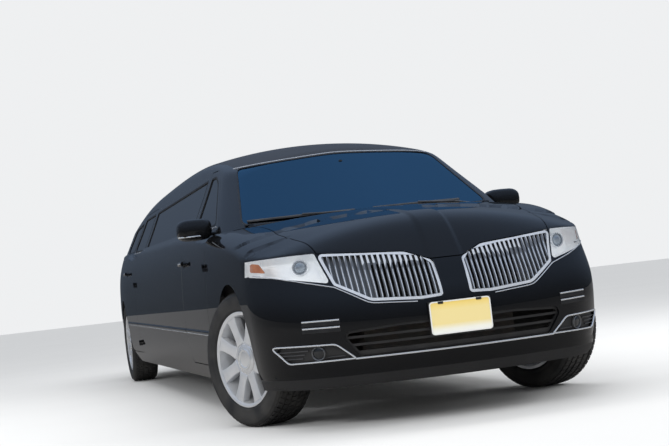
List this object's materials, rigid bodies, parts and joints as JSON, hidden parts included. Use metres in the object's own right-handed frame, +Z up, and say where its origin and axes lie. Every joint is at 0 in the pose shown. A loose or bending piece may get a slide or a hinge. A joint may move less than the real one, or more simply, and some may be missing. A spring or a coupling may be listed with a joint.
{
  "type": "stretch limousine",
  "caption": "Black stretch limousine on an estate-bodied luxury car, with a split bar grille, steered front wheels, hinged doors, hood and tailgate.",
  "frame": {"origin": "on the ground, under the middle of the overall length, width and height box", "axes": "+X forwards, +Y to the car's left, +Z up"},
  "size_m": [8.349, 2.166, 1.7258],
  "materials": {
    "black_moulded_plastic": "black moulded plastic",
    "deep_gloss_black_paint": "deep gloss black paint",
    "dark_tinted_glass": "dark tinted glass",
    "bare_and_coated_steel": "bare and coated steel",
    "cast_iron_and_steel": "cast iron and steel",
    "black_underbody_coating": "black underbody coating",
    "black_leather": "black leather",
    "clear_lamp": "clear lamp",
    "silver_painted_alloy": "silver painted alloy",
    "dull_black_roof_covering": "dull black roof covering",
    "red_lamp": "red lamp",
    "black_tyre_rubber": "black tyre rubber",
    "satin_bright_metal": "satin bright metal"
  },
  "bodies": {
    "body": {"cowl": "black_moulded_plastic", "dashboard": "black_moulded_plastic", "driveshaft": "bare_and_coated_steel", "engine": "cast_iron_and_steel", "exhaust": "bare_and_coated_steel", "fender_left": "deep_gloss_black_paint", "fender_right": "deep_gloss_black_paint", "floor_pan": "black_underbody_coating", "front_bumper": "deep_gloss_black_paint", "front_seats": "black_leather", "front_suspension": "bare_and_coated_steel", "fuel_tank": "black_moulded_plastic", "headlamps": "clear_lamp", "ladder_frame": "black_underbody_coating", "lounge_furniture": "black_leather", "lower_grille": "black_moulded_plastic", "partition": "black_moulded_plastic", "plate_bracket": "black_moulded_plastic", "quarter_panel_left": "deep_gloss_black_paint", "quarter_panel_right": "deep_gloss_black_paint", "rear_axle": "cast_iron_and_steel", "rear_bumper": "deep_gloss_black_paint", "roof": "dull_black_roof_covering", "side_glass": "dark_tinted_glass", "sills": "deep_gloss_black_paint", "stretch_side_left": "deep_gloss_black_paint", "stretch_side_right": "deep_gloss_black_paint", "upper_grilles": "satin_bright_metal", "windscreen": "dark_tinted_glass"},
    "front_door_left": {"door_front_left": "deep_gloss_black_paint", "door_glass_front_left": "dark_tinted_glass", "mirror_left": "deep_gloss_black_paint"},
    "front_door_right": {"door_front_right": "deep_gloss_black_paint", "door_glass_front_right": "dark_tinted_glass", "mirror_right": "deep_gloss_black_paint"},
    "rear_door_left": {"door_glass_rear_left": "dark_tinted_glass", "door_rear_left": "deep_gloss_black_paint"},
    "rear_door_right": {"door_glass_rear_right": "dark_tinted_glass", "door_rear_right": "deep_gloss_black_paint"},
    "hood_panel": {"hood": "deep_gloss_black_paint"},
    "steering_left": {"knuckle_left": "cast_iron_and_steel"},
    "steering_right": {"knuckle_right": "cast_iron_and_steel"},
    "wheel_front_left": {"rim_front_left": "silver_painted_alloy", "tyre_front_left": "black_tyre_rubber"},
    "wheel_front_right": {"rim_front_right": "silver_painted_alloy", "tyre_front_right": "black_tyre_rubber"},
    "wheel_rear_left": {"rim_rear_left": "silver_painted_alloy", "tyre_rear_left": "black_tyre_rubber"},
    "wheel_rear_right": {"rim_rear_right": "silver_painted_alloy", "tyre_rear_right": "black_tyre_rubber"},
    "tailgate_panel": {"tail_lamps": "red_lamp", "tailgate": "deep_gloss_black_paint", "tailgate_glass": "dark_tinted_glass"}
  },
  "joints": [
    {"name": "front_door_left_swing", "type": "hinge", "parent": "body", "child": "front_door_left", "pos_m": [2.427, 0.968, 0.6], "axis": [0, 0, -1], "range_deg": [0, 66]},
    {"name": "rear_door_left_swing", "type": "hinge", "parent": "body", "child": "rear_door_left", "pos_m": [-1.636, 0.968, 0.6], "axis": [0, 0, -1], "range_deg": [0, 68]},
    {"name": "front_door_right_swing", "type": "hinge", "parent": "body", "child": "front_door_right", "pos_m": [2.427, -0.968, 0.6], "axis": [0, 0, 1], "range_deg": [0, 66]},
    {"name": "rear_door_right_swing", "type": "hinge", "parent": "body", "child": "rear_door_right", "pos_m": [-1.636, -0.968, 0.6], "axis": [0, 0, 1], "range_deg": [0, 68]},
    {"name": "hood_lift", "type": "hinge", "parent": "body", "child": "hood_panel", "pos_m": [2.739, 0, 1.1], "axis": [0, -1, 0], "range_deg": [0, 55]},
    {"name": "tailgate_lift", "type": "hinge", "parent": "body", "child": "tailgate_panel", "pos_m": [-3.626, 0, 1.532], "axis": [0, 1, 0], "range_deg": [0, 78]},
    {"name": "steer_left", "type": "hinge", "parent": "body", "child": "steering_left", "pos_m": [3.117, 0.74, 0.365], "axis": [0, 0, 1], "range_deg": [-59.5, 12.5]},
    {"name": "steer_right", "type": "hinge", "parent": "body", "child": "steering_right", "pos_m": [3.117, -0.74, 0.365], "axis": [0, 0, 1], "range_deg": [-59.5, 12.5]},
    {"name": "roll_front_left", "type": "hinge", "parent": "steering_left", "child": "wheel_front_left", "pos_m": [3.08191, 0.8207, 0.365], "axis": [-0.3987, 0.9171, 0], "continuous": true},
    {"name": "roll_rear_left", "type": "hinge", "parent": "body", "child": "wheel_rear_left", "pos_m": [-2.926, 0.828, 0.365], "axis": [0, 1, 0], "continuous": true},
    {"name": "roll_front_right", "type": "hinge", "parent": "steering_right", "child": "wheel_front_right", "pos_m": [3.15209, -0.8207, 0.365], "axis": [-0.3987, 0.9171, 0], "continuous": true},
    {"name": "roll_rear_right", "type": "hinge", "parent": "body", "child": "wheel_rear_right", "pos_m": [-2.926, -0.828, 0.365], "axis": [0, 1, 0], "continuous": true}
  ],
  "couplings": [
    {"joint": "steer_right", "follows": "steer_left", "ratio": 1}
  ]
}
